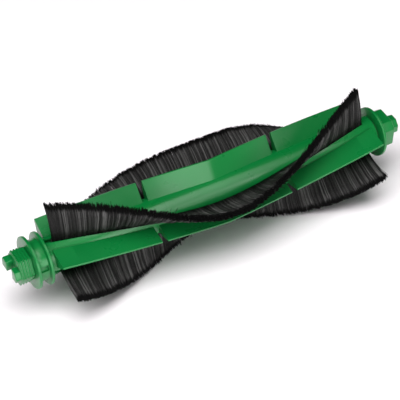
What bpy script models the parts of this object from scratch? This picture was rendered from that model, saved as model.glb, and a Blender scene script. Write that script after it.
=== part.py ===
"""Chevron roller brush of a wet and dry floor cleaner.

A moulded core on a steel shaft carries three V-shaped bristle rows and three
notched wiper fins.  A two-pronged hex key drives one end; the other end turns
on a ball bearing inside a stationary square block.

Metres, +Z up.  The roller lies along X.  The world origin is the centre of the
stationary spigot's end face, and +X points out of that end.  Every piece is
modelled from the plane in the middle of the V, and hangs on one empty there.
"""

import math

import bmesh
import bpy
from mathutils import Matrix, Vector

MM = 0.001

# ---- Driving dimensions ------------------------------------------------------
BRISTLE_HALF_LENGTH = 72.2 * MM
CORE_RADIUS = 7.6 * MM
BORE_WALL = 0.9 * MM
CORE_LEFT = -BRISTLE_HALF_LENGTH - 3.9 * MM
CORE_RIGHT = BRISTLE_HALF_LENGTH + 4.5 * MM

ROWS = 3
BRISTLE_TIP_RADIUS = CORE_RADIUS + 15.2 * MM
BRISTLE_ROOT_ANGLE = 3.1
BRISTLE_LEAN = 13.0
BRISTLE_SWEEP = 86.2
BRISTLE_ROUNDING = 0.257
BRISTLE_ROOT_WIDTH = 2.0 * MM
BRISTLE_TIP_WIDTH = 2.7 * MM

SLOT_MOUTH_WIDTH = 2.5 * MM
SLOT_LIP = 0.9 * MM
SLOT_WIDTH = 3.3 * MM
SLOT_DEPTH = 2.2 * MM

FIN_HALF_LENGTH = BRISTLE_HALF_LENGTH + 2.05 * MM
FIN_TIP_RADIUS = CORE_RADIUS + 7.8 * MM
FIN_TIP_ANGLE = -16.5
FIN_TIP_WIDTH = 0.8 * MM
FIN_FRONT_ANGLE = -36.0
FIN_BACK_ANGLE = -9.0
FIN_BACK_STEP = 0.6 * MM
FIN_SWEEP = 35.9
FIN_BACK_SWEEP = 63.0
FIN_ROUNDING = 0.008
TONGUE_ANGLE = -27.0
TONGUE_WIDTH = 1.7 * MM
TONGUE_DEPTH = 0.85 * MM
NOTCH_OFFSET = 30.2 * MM
NOTCH_WIDTH = 2.6 * MM
NOTCH_SINK = 0.1 * MM

GUARD_RADIUS = 11.0 * MM
GUARD_RIM = 1.2 * MM
DRUM_RADIUS = 8.6 * MM
DRUM_LENGTH = 4.1 * MM
WINDOW_HEIGHT = 2.5 * MM
WINDOW_DEPTH = 0.9 * MM
WINDOW_ANGLE = 14.0

KEY_RADIUS = 7.2 * MM
KEY_ANGLE = -1.5
KEY_LENGTH = 5.8 * MM
KEY_RIB_HEIGHT = 0.5 * MM
KEY_RIB_WIDTH = 0.6 * MM
KEY_RIB_PITCH = 1.2 * MM
KEY_RIBS = 4
KEY_RIB_START = 1.7 * MM
KEY_SHANK_LENGTH = 14.0 * MM
SHAFT_ENTRY = 8.9 * MM
PRONG_LENGTH = 2.8 * MM
WIDE_PRONG_CUT = 0.7 * MM
PRONG_GAP = 3.0 * MM
PRONG_GAP_OFFSET = 0.5 * MM
WIDE_PRONG_LOW = -2.7 * MM
WIDE_PRONG_HIGH = 2.7 * MM
NARROW_PRONG_REACH = 5.7 * MM
NARROW_PRONG_LOW = -1.1 * MM
NARROW_PRONG_HIGH = 3.7 * MM

SHAFT_RADIUS = 2.5 * MM
PIN_RADIUS = 0.9 * MM
PIN_OFFSET = 4.0 * MM
PLUG_LENGTH = 16.0 * MM

FLANGE_LEFT = CORE_RIGHT + 1.0 * MM
FLANGE_WIDTH = 1.3 * MM
FLANGE_RADIUS = 10.85 * MM
BLOCK_HALF = 6.9 * MM
BLOCK_ANGLE = -3.0
BLOCK_LENGTH = 6.3 * MM
BLOCK_CHAMFER = 2.8 * MM
SPIGOT_RADIUS = 4.15 * MM
SPIGOT_SIDES = 8
SPIGOT_LENGTH = 4.3 * MM

BEARING_LEFT = CORE_RIGHT + 1.6 * MM
BEARING_WIDTH = 4.0 * MM
BEARING_RADIUS = 5.5 * MM
BALL_RADIUS = 0.6 * MM
BALLS = 8
CAGE_WALL = 0.5 * MM
CAGE_RIM = 0.45 * MM
SHIELD_WIDTH = 0.25 * MM
RING_WIDTH = 0.6 * MM
RING_RADIUS = SHAFT_RADIUS + 1.2 * MM
RING_OPENING = 3.0 * MM
CLIP_GROOVE = 0.4 * MM
WASHER_RADIUS = SHAFT_RADIUS + 1.1 * MM
SEAL_WIDTH = 0.8 * MM

SEAT_GAP = 0.15 * MM
SHANK_GAP = 0.2 * MM
RUNNING_GAP = 0.3 * MM
END_GAP = 0.3 * MM
OVERCUT = 2.0 * MM
STATIONS = 36
FIN_STATIONS = 20
CORE_STEPS = 60
ROUND_STEPS = 48
BUSH_STEPS = 40
SMALL_STEPS = 32
BALL_STEPS = 10
PIN_STEPS = 20

# ---- Places worked out from the driving dimensions ---------------------------
DISC_IN_LEFT = CORE_LEFT - END_GAP - GUARD_RIM
DISC_OUT_LEFT = DISC_IN_LEFT - DRUM_LENGTH - GUARD_RIM
KEY_FACE = DISC_OUT_LEFT - END_GAP / 2
KEY_END = KEY_FACE - KEY_LENGTH
PRONG_END = KEY_END - PRONG_LENGTH
SHANK_END = CORE_LEFT + KEY_SHANK_LENGTH
SHAFT_LEFT = CORE_LEFT + KEY_SHANK_LENGTH - SHAFT_ENTRY
FLANGE_RIGHT = FLANGE_LEFT + FLANGE_WIDTH
BLOCK_END = FLANGE_RIGHT + BLOCK_LENGTH
SPIGOT_END = BLOCK_END + SPIGOT_LENGTH
BEARING_RIGHT = BEARING_LEFT + BEARING_WIDTH
RING_LEFT = BEARING_RIGHT + SEAT_GAP
RING_RIGHT = RING_LEFT + RING_WIDTH
SHAFT_RIGHT = RING_RIGHT + 2 * END_GAP
SLOT_FLOOR = CORE_RADIUS - SLOT_DEPTH
CORE_BORE_RADIUS = SLOT_FLOOR - BORE_WALL
KEY_SHANK_RADIUS = CORE_BORE_RADIUS - SHANK_GAP
LIP_RADIUS = CORE_RADIUS - SLOT_LIP
BACKING_TOP = LIP_RADIUS - SEAT_GAP
FIN_SEAT = CORE_RADIUS + SEAT_GAP
TONGUE_RADIUS = CORE_RADIUS - TONGUE_DEPTH
BALL_TRACK = 2 * BALL_RADIUS + 1.5 * SEAT_GAP
RACE_WALL = (BEARING_RADIUS - SHAFT_RADIUS - SEAT_GAP / 2 - BALL_TRACK) / 2
INNER_RACE_RADIUS = SHAFT_RADIUS + SEAT_GAP / 2 + RACE_WALL
OUTER_RACE_BORE = BEARING_RADIUS - RACE_WALL
CAGE_WIDTH = 2 * (BALL_RADIUS + SEAT_GAP + CAGE_RIM)
PITCH_RADIUS = (INNER_RACE_RADIUS + OUTER_RACE_BORE) / 2

# ---- Colours -----------------------------------------------------------------
GREEN = (0.012, 0.22, 0.045)
BLACK = (0.016, 0.015, 0.015)
DARK = (0.03, 0.03, 0.032)
STEEL = (0.55, 0.56, 0.58)
FELT = (0.32, 0.31, 0.29)


def clear_scene():
    """Remove the objects of the scene that the script is started in."""
    for thing in list(bpy.data.objects):
        bpy.data.objects.remove(thing, do_unlink=True)


def new_collection(name):
    group = bpy.data.collections.new(name)
    bpy.context.scene.collection.children.link(group)
    return group


def material(name, colour, roughness, metallic=0.0):
    """A Principled material."""
    look = bpy.data.materials.new(name)
    look.use_nodes = True
    shader = look.node_tree.nodes["Principled BSDF"]
    shader.inputs["Base Color"].default_value = (*colour, 1.0)
    shader.inputs["Roughness"].default_value = roughness
    shader.inputs["Metallic"].default_value = metallic
    return look


class Assembly:
    """The pieces, their cutters, and the empty on the axis that holds them."""

    def __init__(self):
        self.parts = new_collection("roller_brush")
        self.cutters = new_collection("cutters")
        self.axis = bpy.data.objects.new("roller_axis", None)
        self.axis.location.x = -SPIGOT_END
        self.parts.objects.link(self.axis)

    def place(self, name, mesh, turn=0.0, look=None):
        """Put a mesh on the axis, turned by some degrees in the sense of the sweep."""
        thing = bpy.data.objects.new(name, mesh)
        thing.parent = self.axis
        thing.rotation_euler.x = -math.radians(turn)
        self.parts.objects.link(thing)
        if look:
            thing.data.materials.clear()
            thing.data.materials.append(material(name, *look))
        return thing

    def cutter(self, name, mesh, turn=0.0):
        """A cutter on the axis; it is not a piece."""
        thing = self.place(name, mesh, turn)
        self.parts.objects.unlink(thing)
        self.cutters.objects.link(thing)
        thing.hide_render = True
        thing.display_type = "WIRE"
        return thing


def boolean(target, cutter, operation="DIFFERENCE"):
    modifier = target.modifiers.new(cutter.name, "BOOLEAN")
    modifier.object = cutter
    modifier.operation = operation
    modifier.solver = "EXACT"


def smooth(mesh, degrees=32.0):
    mesh.shade_smooth()
    mesh.set_sharp_from_angle(angle=math.radians(degrees))


def ring_point(x, radius, degrees):
    """A point at a radius; 0 degrees is the -Y side and 90 degrees the top."""
    angle = math.radians(degrees)
    return Vector((x, -radius * math.cos(angle), radius * math.sin(angle)))


def side_point(x, depth, side, degrees):
    """A point at a depth along a spoke at some degrees, and to one side of it."""
    return ring_point(x, math.hypot(depth, side), degrees + math.degrees(math.atan2(side, depth)))


def chevron(x, half_length, sweep, rounding):
    """Degrees swept at x by a V with a rounded kink; 0 in the middle of the roller."""
    run = math.hypot(x / half_length, rounding) - rounding
    return sweep * run / (math.hypot(1.0, rounding) - rounding)


def stations(half_length, count):
    return [half_length * (2.0 * step / count - 1.0) for step in range(count + 1)]


def loft(name, rings):
    """A closed solid through rings of points that all have the same count."""
    shape = bmesh.new()
    loops = [[shape.verts.new(point) for point in ring] for ring in rings]
    for first, second in zip(loops, loops[1:]):
        for index, corner in enumerate(first):
            before = index - 1
            shape.faces.new((first[before], corner, second[index], second[before]))
    shape.faces.new(loops[0])
    shape.faces.new(loops[-1])
    bmesh.ops.recalc_face_normals(shape, faces=shape.faces)
    mesh = bpy.data.meshes.new(name)
    shape.to_mesh(mesh)
    shape.free()
    smooth(mesh)
    return mesh


def prism(name, sides, radius, left, right, degrees=0.0):
    """A straight bar along the axis with a regular outline, one corner at some degrees."""
    shape = bmesh.new()
    to_axis = Matrix.Translation(((left + right) / 2, 0.0, 0.0)) @ Matrix.Rotation(math.pi / 2, 4, "Y")
    bmesh.ops.create_cone(
        shape, cap_ends=True, cap_tris=False, segments=sides, radius1=radius,
        radius2=radius, depth=right - left, matrix=to_axis,
    )
    first = min(shape.verts, key=lambda corner: (corner.co - ring_point(left, radius, 0.0)).length)
    start = math.degrees(math.atan2(first.co.z, -first.co.y))
    turn = Matrix.Rotation(-math.radians(degrees - start), 4, "X")
    bmesh.ops.transform(shape, matrix=turn, verts=shape.verts)
    mesh = bpy.data.meshes.new(name)
    shape.to_mesh(mesh)
    shape.free()
    smooth(mesh)
    return mesh


def block(name, low, high, degrees=0.0):
    """A box between two corners, turned about the axis."""
    shape = bmesh.new()
    low, high = Vector(low), Vector(high)
    size = Matrix.Diagonal((*(high - low), 1.0))
    turn = Matrix.Rotation(-math.radians(degrees), 4, "X")
    bmesh.ops.create_cube(shape, size=1.0, matrix=turn @ Matrix.Translation((low + high) / 2) @ size)
    mesh = bpy.data.meshes.new(name)
    shape.to_mesh(mesh)
    shape.free()
    return mesh


def chamfered_square(name, half, chamfer, left, right, degrees=0.0):
    """A square bar along the axis whose four long edges are chamfered."""
    shape = bmesh.new()
    shape.from_mesh(block(name, (left, -half, -half), (right, half, half), degrees))
    along = [edge for edge in shape.edges
             if abs(edge.verts[0].co.x - edge.verts[1].co.x) > (right - left) / 2]
    bmesh.ops.bevel(shape, geom=along, offset=chamfer, offset_type="OFFSET", segments=1, affect="EDGES")
    mesh = bpy.data.meshes.new(name)
    shape.to_mesh(mesh)
    shape.free()
    return mesh


def turned(name, profile, steps=ROUND_STEPS):
    """A round piece from a profile of (x, radius) points, outer side first from +X to -X."""
    shape = bmesh.new()
    corners = [shape.verts.new((radius, 0.0, x)) for x, radius in profile]
    for first, second in zip(corners, corners[1:]):
        shape.edges.new((first, second))
    if all(radius > 0.0 for x, radius in profile):
        shape.edges.new((corners[-1], corners[0]))
    mesh = bpy.data.meshes.new(name)
    shape.to_mesh(mesh)
    shape.free()
    thing = bpy.data.objects.new(name, mesh)
    bpy.context.scene.collection.objects.link(thing)
    screw = thing.modifiers.new("turn", "SCREW")
    screw.steps = screw.render_steps = steps
    screw.use_merge_vertices = True
    screw.merge_threshold = 0.00001
    result = bpy.data.meshes.new_from_object(
        thing.evaluated_get(bpy.context.evaluated_depsgraph_get()))
    bpy.data.objects.remove(thing, do_unlink=True)
    result.transform(Matrix.Rotation(math.pi / 2, 4, "Y"))
    result.name = name
    smooth(result)
    return result


def tube(name, left, right, outer, inner, steps=ROUND_STEPS):
    """A plain ring on the axis."""
    return turned(name, [(right, outer), (left, outer), (left, inner), (right, inner)], steps)


# ---- Core, fins and bristles -------------------------------------------------
def bristle_turn(x):
    return BRISTLE_ROOT_ANGLE + chevron(x, BRISTLE_HALF_LENGTH, BRISTLE_SWEEP, BRISTLE_ROUNDING)


def fin_turn(x):
    return chevron(x, FIN_HALF_LENGTH, FIN_SWEEP, FIN_ROUNDING)


def strip_slot_mesh():
    """The T-shaped channel that one bristle strip slides into from the driven end of the core."""
    half_mouth, half_slot = SLOT_MOUTH_WIDTH / 2, SLOT_WIDTH / 2
    outside = CORE_RADIUS + OVERCUT
    outline = [
        (outside, -half_mouth), (outside, half_mouth), (LIP_RADIUS, half_mouth),
        (LIP_RADIUS, half_slot), (SLOT_FLOOR, half_slot), (SLOT_FLOOR, -half_slot),
        (LIP_RADIUS, -half_slot), (LIP_RADIUS, -half_mouth),
    ]
    places = [CORE_LEFT - OVERCUT, *stations(BRISTLE_HALF_LENGTH, STATIONS), BRISTLE_HALF_LENGTH + SEAT_GAP]
    return loft("strip_slot", [
        [side_point(x, depth, side, bristle_turn(x)) for depth, side in outline] for x in places])


def strip_backing_mesh():
    """The flexible strip that grips the roots of one bristle row."""
    half = SLOT_WIDTH / 2 - SEAT_GAP
    floor = SLOT_FLOOR + SEAT_GAP
    outline = [(BACKING_TOP, -half), (BACKING_TOP, half), (floor, half), (floor, -half)]
    return loft("strip_backing", [
        [side_point(x, depth, side, bristle_turn(x)) for depth, side in outline]
        for x in stations(BRISTLE_HALF_LENGTH, STATIONS)])


def bristle_row_mesh():
    """The outer shape of one dense row: it leans back a little and widens to its tips."""
    root = BACKING_TOP + SEAT_GAP
    mouth = CORE_RADIUS + SEAT_GAP

    def ring(x):
        turn = bristle_turn(x)
        tip = turn + BRISTLE_LEAN
        half_root, half_tip = BRISTLE_ROOT_WIDTH / 2, BRISTLE_TIP_WIDTH / 2
        return [
            side_point(x, root, -half_root, turn), side_point(x, mouth, -half_root, turn),
            side_point(x, BRISTLE_TIP_RADIUS, -half_tip, tip),
            side_point(x, BRISTLE_TIP_RADIUS, half_tip, tip),
            side_point(x, mouth, half_root, turn), side_point(x, root, half_root, turn),
        ]

    return loft("bristle_row", [ring(x) for x in stations(BRISTLE_HALF_LENGTH, STATIONS)])


def fin_groove_mesh():
    """The groove in the core that one fin's tongue is keyed into."""
    half = TONGUE_WIDTH / 2 + SEAT_GAP
    floor, outside = TONGUE_RADIUS - SEAT_GAP, CORE_RADIUS + OVERCUT
    outline = [(outside, -half), (outside, half), (floor, half), (floor, -half)]
    places = [CORE_LEFT - OVERCUT, *stations(FIN_HALF_LENGTH, FIN_STATIONS), CORE_RIGHT + OVERCUT]
    return loft("fin_groove", [
        [side_point(x, depth, side, TONGUE_ANGLE + fin_turn(x)) for depth, side in outline] for x in places])


def fin_mesh():
    """One wedge-shaped wiper fin: a broad seat on the core, a thin outer edge and a keyed tongue."""

    def ring(x):
        turn = fin_turn(x)
        front = FIN_FRONT_ANGLE + turn
        back = FIN_BACK_ANGLE + chevron(x, BRISTLE_HALF_LENGTH, FIN_BACK_SWEEP, BRISTLE_ROUNDING)
        key = TONGUE_ANGLE + turn
        key_half = math.degrees(TONGUE_WIDTH / 2 / FIN_SEAT)
        tip = FIN_TIP_ANGLE + turn
        inner_half = math.degrees(TONGUE_WIDTH / 2 / TONGUE_RADIUS)
        seat = [back + (key + key_half - back) * share / 4 for share in range(4)]
        return [
            side_point(x, FIN_TIP_RADIUS, -FIN_TIP_WIDTH / 2, tip),
            side_point(x, FIN_TIP_RADIUS, FIN_TIP_WIDTH / 2, tip),
            ring_point(x, FIN_SEAT + FIN_BACK_STEP, back),
            *[ring_point(x, FIN_SEAT, angle) for angle in seat],
            ring_point(x, FIN_SEAT, key + key_half), ring_point(x, TONGUE_RADIUS, key + inner_half),
            ring_point(x, TONGUE_RADIUS, key - inner_half), ring_point(x, FIN_SEAT, key - key_half),
            ring_point(x, FIN_SEAT, front),
        ]

    return loft("wiper_fin", [ring(x) for x in stations(FIN_HALF_LENGTH, FIN_STATIONS)])


def add_core(kit):
    body = tube("core_tube", CORE_LEFT, CORE_RIGHT, CORE_RADIUS, CORE_BORE_RADIUS, CORE_STEPS)
    core = kit.place("core_tube", body, look=(GREEN, 0.32))
    slot, groove = strip_slot_mesh(), fin_groove_mesh()
    for row in range(ROWS):
        turn = 360.0 * row / ROWS
        boolean(core, kit.cutter(f"strip_slot_{row + 1}", slot, turn))
        boolean(core, kit.cutter(f"fin_groove_{row + 1}", groove, turn))


def add_rows(kit):
    notches = []
    for side, middle in (("left", -NOTCH_OFFSET), ("right", NOTCH_OFFSET)):
        notch = tube("notch", middle - NOTCH_WIDTH / 2, middle + NOTCH_WIDTH / 2,
                     FIN_TIP_RADIUS + OVERCUT, CORE_RADIUS - NOTCH_SINK, BUSH_STEPS)
        notches.append(kit.cutter(f"guard_bar_notch_{side}", notch))
    shapes = (
        ("strip_backing", strip_backing_mesh(), (DARK, 0.6)),
        ("bristle_row", bristle_row_mesh(), (BLACK, 0.55)),
        ("wiper_fin", fin_mesh(), (GREEN, 0.32)),
    )
    for name, mesh, look in shapes:
        for row in range(ROWS):
            piece = kit.place(f"{name}_{row + 1}", mesh.copy(), 360.0 * row / ROWS, look)
            if name == "wiper_fin":
                for notch in notches:
                    boolean(piece, notch)


# ---- Driven end --------------------------------------------------------------
def add_hair_guard(kit):
    """Two discs on a drum, which keep wound hair away from the drive."""
    inner = KEY_SHANK_RADIUS + SEAT_GAP
    right, left = CORE_LEFT - END_GAP, DISC_OUT_LEFT
    edge = GUARD_RIM / 4
    profile = [
        (right, GUARD_RADIUS - edge), (right - edge, GUARD_RADIUS), (right - GUARD_RIM + edge, GUARD_RADIUS),
        (right - GUARD_RIM, GUARD_RADIUS - edge), (right - GUARD_RIM, DRUM_RADIUS),
        (left + GUARD_RIM, DRUM_RADIUS), (left + GUARD_RIM, GUARD_RADIUS - edge),
        (left + GUARD_RIM - edge, GUARD_RADIUS), (left + edge, GUARD_RADIUS), (left, GUARD_RADIUS - edge),
        (left, inner), (right, inner),
    ]
    spool = kit.place("hair_guard_spool", turned("hair_guard_spool", profile), look=(GREEN, 0.34))
    window = kit.cutter("drum_window", block(
        "drum_window",
        (left + GUARD_RIM + SEAT_GAP, -DRUM_RADIUS - OVERCUT, -WINDOW_HEIGHT / 2),
        (DISC_IN_LEFT - SEAT_GAP, WINDOW_DEPTH - DRUM_RADIUS, WINDOW_HEIGHT / 2), WINDOW_ANGLE))
    boolean(spool, window)


def add_drive_key(kit):
    """Ribbed hex barrel with two prongs, on a shank that passes the spool into the core."""
    key = kit.place("drive_key", prism("drive_key", 6, KEY_RADIUS, PRONG_END, KEY_FACE, KEY_ANGLE),
                    look=(GREEN, 0.34))
    for rib in range(KEY_RIBS):
        middle = KEY_FACE - KEY_RIB_START - rib * KEY_RIB_PITCH
        ridge = prism("rib", 6, KEY_RADIUS + KEY_RIB_HEIGHT, middle - KEY_RIB_WIDTH / 2,
                      middle + KEY_RIB_WIDTH / 2, KEY_ANGLE)
        boolean(key, kit.cutter(f"key_rib_{rib + 1}", ridge), "UNION")
    shank = prism("shank", BUSH_STEPS, KEY_SHANK_RADIUS, KEY_FACE - KEY_LENGTH / 2, SHANK_END)
    boolean(key, kit.cutter("key_shank", shank), "UNION")
    left, wide = PRONG_END - OVERCUT, 2 * KEY_RADIUS
    gap_low, gap_high = -PRONG_GAP_OFFSET - PRONG_GAP / 2, PRONG_GAP / 2 - PRONG_GAP_OFFSET
    cuts = (
        ("prong_gap", (left, gap_low, -wide), (KEY_END, gap_high, wide)),
        ("wide_prong_end", (left, -wide, -wide), (PRONG_END + WIDE_PRONG_CUT, 0.0, wide)),
        ("above_wide_prong", (left, -wide, WIDE_PRONG_HIGH), (KEY_END, 0.0, wide)),
        ("below_wide_prong", (left, -wide, -wide), (KEY_END, 0.0, WIDE_PRONG_LOW)),
        ("above_narrow_prong", (left, 0.0, NARROW_PRONG_HIGH), (KEY_END, wide, wide)),
        ("below_narrow_prong", (left, 0.0, -wide), (KEY_END, wide, NARROW_PRONG_LOW)),
        ("beyond_narrow_prong", (left, NARROW_PRONG_REACH, -wide), (KEY_END, wide, wide)),
    )
    for name, low, high in cuts:
        boolean(key, kit.cutter(name, block(name, low, high)))
    bore = prism("key_bore", SMALL_STEPS, SHAFT_RADIUS + SEAT_GAP, SHAFT_LEFT - END_GAP, SHANK_END + OVERCUT)
    boolean(key, kit.cutter("key_bore", bore))
    boolean(key, pin_hole(kit, "key_pin_hole"))


def pin_bar(radius, half_length):
    """An upright round bar through the axis where the cross pin goes."""
    shape = bmesh.new()
    place = Matrix.Translation((SHAFT_LEFT + PIN_OFFSET, 0.0, 0.0))
    bmesh.ops.create_cone(shape, cap_ends=True, segments=PIN_STEPS, radius1=radius, radius2=radius,
                          depth=2 * half_length, matrix=place)
    mesh = bpy.data.meshes.new("pin_bar")
    shape.to_mesh(mesh)
    shape.free()
    smooth(mesh)
    return mesh


def pin_hole(kit, name):
    return kit.cutter(name, pin_bar(PIN_RADIUS + SEAT_GAP, KEY_SHANK_RADIUS + OVERCUT))


def add_shaft(kit):
    """Steel shaft with a clip groove beside the bearing, cross-pinned to the drive key."""
    groove = SHAFT_RADIUS - CLIP_GROOVE
    profile = [
        (SHAFT_RIGHT, 0.0), (SHAFT_RIGHT, SHAFT_RADIUS),
        (RING_RIGHT + SEAT_GAP, SHAFT_RADIUS), (RING_RIGHT + SEAT_GAP, groove),
        (RING_LEFT - SEAT_GAP / 2, groove), (RING_LEFT - SEAT_GAP / 2, SHAFT_RADIUS),
        (SHAFT_LEFT, SHAFT_RADIUS), (SHAFT_LEFT, 0.0),
    ]
    shaft = kit.place("steel_shaft", turned("steel_shaft", profile, SMALL_STEPS), look=(STEEL, 0.28, 1.0))
    boolean(shaft, pin_hole(kit, "shaft_pin_hole"))
    kit.place("cross_pin", pin_bar(PIN_RADIUS, KEY_SHANK_RADIUS), look=(STEEL, 0.3, 1.0))


# ---- Bearing end -------------------------------------------------------------
def add_plug_and_washer(kit):
    inner = SHAFT_RADIUS + SEAT_GAP
    plug = tube("core_plug", CORE_RIGHT - PLUG_LENGTH, CORE_RIGHT - SEAT_GAP,
                CORE_BORE_RADIUS - SEAT_GAP, inner, BUSH_STEPS)
    kit.place("core_plug", plug, look=(DARK, 0.5))
    washer = tube("spacer_washer", CORE_RIGHT, BEARING_LEFT - SEAT_GAP, WASHER_RADIUS, inner,
                  SMALL_STEPS)
    kit.place("spacer_washer", washer, look=(STEEL, 0.35, 1.0))
    clip = tube("retaining_ring", RING_LEFT, RING_RIGHT, RING_RADIUS,
                SHAFT_RADIUS - CLIP_GROOVE + SEAT_GAP, SMALL_STEPS)
    ring = kit.place("retaining_ring", clip, look=(STEEL, 0.3, 1.0))
    opening = block("opening", (RING_LEFT - OVERCUT, -2 * RING_RADIUS, -RING_OPENING / 2),
                    (RING_RIGHT + OVERCUT, 0.0, RING_OPENING / 2))
    boolean(ring, kit.cutter("retaining_ring_opening", opening))


def ball_mesh(radius, place, sides):
    shape = bmesh.new()
    bmesh.ops.create_uvsphere(shape, u_segments=sides, v_segments=sides // 2 + 1, radius=radius, matrix=place)
    mesh = bpy.data.meshes.new("ball")
    shape.to_mesh(mesh)
    shape.free()
    mesh.shade_smooth()
    return mesh


def add_bearing(kit):
    """A small shielded ball bearing: races, balls, cage and two shields."""
    steel = (STEEL, 0.22, 1.0)
    inner = tube("bearing_inner_race", BEARING_LEFT, BEARING_RIGHT, INNER_RACE_RADIUS,
                 SHAFT_RADIUS + SEAT_GAP / 2, BUSH_STEPS)
    kit.place("bearing_inner_race", inner, look=steel)
    outer = tube("bearing_outer_race", BEARING_LEFT, BEARING_RIGHT, BEARING_RADIUS, OUTER_RACE_BORE)
    kit.place("bearing_outer_race", outer, look=steel)
    middle = (BEARING_LEFT + BEARING_RIGHT) / 2
    cage_mesh = tube("ball_cage", middle - CAGE_WIDTH / 2, middle + CAGE_WIDTH / 2,
                     PITCH_RADIUS + CAGE_WALL / 2, PITCH_RADIUS - CAGE_WALL / 2, SMALL_STEPS)
    cage = kit.place("ball_cage", cage_mesh, look=((0.45, 0.34, 0.14), 0.4, 1.0))
    for number in range(BALLS):
        turn = 360.0 * number / BALLS
        centre = Matrix.Translation(ring_point(middle, PITCH_RADIUS, turn))
        kit.place(f"bearing_ball_{number + 1}", ball_mesh(BALL_RADIUS, centre, BALL_STEPS), look=steel)
        pocket = ball_mesh(BALL_RADIUS + SEAT_GAP, centre, BALL_STEPS - 2)
        boolean(cage, kit.cutter(f"ball_pocket_{number + 1}", pocket))
    outer_left = BEARING_RIGHT - SEAT_GAP - SHIELD_WIDTH
    for name, left in (("inner", BEARING_LEFT + SEAT_GAP), ("outer", outer_left)):
        shield = tube("shield", left, left + SHIELD_WIDTH, OUTER_RACE_BORE - SEAT_GAP / 2,
                      INNER_RACE_RADIUS + SEAT_GAP, SMALL_STEPS)
        kit.place(f"bearing_shield_{name}", shield, look=(STEEL, 0.4, 1.0))


def add_bearing_block(kit):
    """The piece that stays still in the machine: flange, square boss, spigot and bearing pocket."""
    edge = FLANGE_WIDTH / 4
    profile = [
        (FLANGE_RIGHT, 0.0), (FLANGE_RIGHT, FLANGE_RADIUS - edge), (FLANGE_RIGHT - edge, FLANGE_RADIUS),
        (FLANGE_LEFT + edge, FLANGE_RADIUS), (FLANGE_LEFT, FLANGE_RADIUS - edge), (FLANGE_LEFT, 0.0),
    ]
    holder = kit.place("bearing_block", turned("bearing_block", profile), look=(GREEN, 0.34))
    boss = kit.cutter("block_boss", chamfered_square("boss", BLOCK_HALF, BLOCK_CHAMFER, FLANGE_LEFT + edge,
                                                     BLOCK_END, BLOCK_ANGLE))
    boolean(holder, boss, "UNION")
    half_side = 180.0 / SPIGOT_SIDES
    spigot = kit.cutter("block_spigot", prism("spigot", SPIGOT_SIDES, SPIGOT_RADIUS, FLANGE_RIGHT, SPIGOT_END,
                                              BLOCK_ANGLE + half_side))
    boolean(holder, spigot, "UNION")
    pocket = BEARING_RIGHT + SEAT_GAP
    wide, narrow = BEARING_RADIUS + SEAT_GAP, SHAFT_RADIUS + RUNNING_GAP
    clip_room = RING_RADIUS + RUNNING_GAP
    clip_end = RING_RIGHT + RUNNING_GAP
    end = SHAFT_RIGHT + RUNNING_GAP
    cavity = turned("bearing_pocket", [
        (end, 0.0), (end, narrow), (clip_end, narrow), (clip_end, clip_room), (pocket, clip_room),
        (pocket, wide), (FLANGE_LEFT - OVERCUT, wide), (FLANGE_LEFT - OVERCUT, 0.0),
    ])
    boolean(holder, kit.cutter("bearing_pocket", cavity))
    seal = tube("dust_seal", BEARING_LEFT - SEAT_GAP - SEAL_WIDTH, BEARING_LEFT - SEAT_GAP,
                BEARING_RADIUS, WASHER_RADIUS + RUNNING_GAP, BUSH_STEPS)
    kit.place("dust_seal", seal, look=(FELT, 0.95))


def main():
    clear_scene()
    kit = Assembly()
    add_core(kit)
    add_rows(kit)
    add_hair_guard(kit)
    add_drive_key(kit)
    add_shaft(kit)
    add_plug_and_washer(kit)
    add_bearing(kit)
    add_bearing_block(kit)


main()
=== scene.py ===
"""Looks of a chevron roller brush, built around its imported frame.

The frame gives the places.  The moulded green pieces are modelled again with
rounded edges and finely swept walls, and each bristle row is modelled as
separate nylon filaments.  Shaft, bearing, strips and seal keep the frame's
shapes and get their own finishes.
"""

import math

import bmesh
import bpy
import numpy as np
from bpy.props import FloatProperty, FloatVectorProperty, IntProperty, PointerProperty
from mathutils import Matrix, Vector


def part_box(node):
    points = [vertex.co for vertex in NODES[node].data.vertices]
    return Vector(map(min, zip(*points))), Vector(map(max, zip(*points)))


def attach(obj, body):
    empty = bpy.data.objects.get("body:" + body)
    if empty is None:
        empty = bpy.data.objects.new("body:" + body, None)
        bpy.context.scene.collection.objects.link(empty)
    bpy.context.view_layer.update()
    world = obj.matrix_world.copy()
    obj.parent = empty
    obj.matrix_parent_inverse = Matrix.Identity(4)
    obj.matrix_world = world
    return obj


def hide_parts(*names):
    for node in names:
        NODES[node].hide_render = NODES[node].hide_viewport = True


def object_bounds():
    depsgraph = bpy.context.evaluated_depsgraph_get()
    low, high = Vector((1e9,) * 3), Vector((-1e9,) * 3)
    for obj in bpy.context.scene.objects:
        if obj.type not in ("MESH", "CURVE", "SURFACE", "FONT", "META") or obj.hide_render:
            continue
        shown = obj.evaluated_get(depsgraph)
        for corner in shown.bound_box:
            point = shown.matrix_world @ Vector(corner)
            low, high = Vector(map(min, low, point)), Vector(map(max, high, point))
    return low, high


bl_info = {
    "name": "Roller Brush",
    "version": (1, 0, 0),
    "blender": (4, 5, 0),
    "location": "View3D > Sidebar > Roller Brush",
    "description": "Builds the visible pieces of a chevron roller brush around its frame",
    "category": "Object",
}

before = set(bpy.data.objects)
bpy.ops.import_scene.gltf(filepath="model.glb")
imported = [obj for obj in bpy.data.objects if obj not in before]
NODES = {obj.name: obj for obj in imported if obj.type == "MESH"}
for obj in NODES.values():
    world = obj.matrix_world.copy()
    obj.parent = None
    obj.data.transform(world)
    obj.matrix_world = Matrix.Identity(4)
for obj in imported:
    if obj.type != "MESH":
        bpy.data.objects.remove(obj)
CAD_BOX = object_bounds()

MM = 0.001
ROWS = 3


def middle_of(node):
    low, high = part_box(node)
    return (low + high) / 2


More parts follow.
